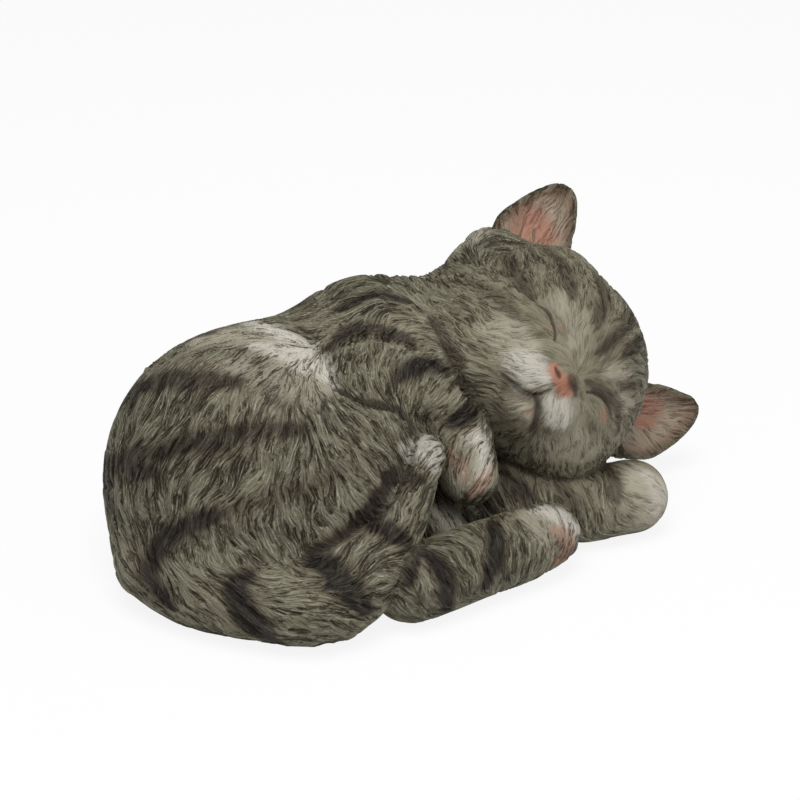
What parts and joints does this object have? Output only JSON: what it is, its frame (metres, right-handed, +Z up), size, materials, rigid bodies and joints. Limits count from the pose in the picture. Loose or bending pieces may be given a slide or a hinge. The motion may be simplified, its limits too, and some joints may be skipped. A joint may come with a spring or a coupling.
{
  "type": "sleeping kitten figurine",
  "caption": "Ornament of a curled, sleeping tabby kitten with carved fur, resting its head on its foreleg; flat underside with a closed vent.",
  "frame": {"origin": "on the ground, on the flat underside below the middle of the body", "axes": "+X towards the head end, -Y towards the side that shows the face and the legs, +Z up"},
  "size_m": [0.1959, 0.1066, 0.0898],
  "materials": {
    "fur": "cast resin with carved fur, hand painted khaki grey with dark tabby bands, satin matt",
    "tail_fur": "cast resin with carved fur, painted in dark rings, pale tip",
    "leg_fur": "cast resin with carved fur, ringed, cream to white paws and pink pads",
    "face": "cast resin with fine carved fur, airbrushed pale muzzle, dark forehead bands, pink nose",
    "ear": "cast resin, brown rim, pink bowl with pale strands",
    "base": "plain cast resin, brown wash",
    "plug": "black rubber"
  },
  "bodies": {
    "root": {"torso_shell": "fur", "right_haunch": "fur", "tail": "tail_fur", "right_hind_foot": "leg_fur", "left_foreleg": "leg_fur", "right_foreleg": "leg_fur", "head_shell": "face", "right_ear": "ear", "left_ear": "ear", "base_plate": "base", "vent_plug": "plug"}
  },
  "joints": []
}
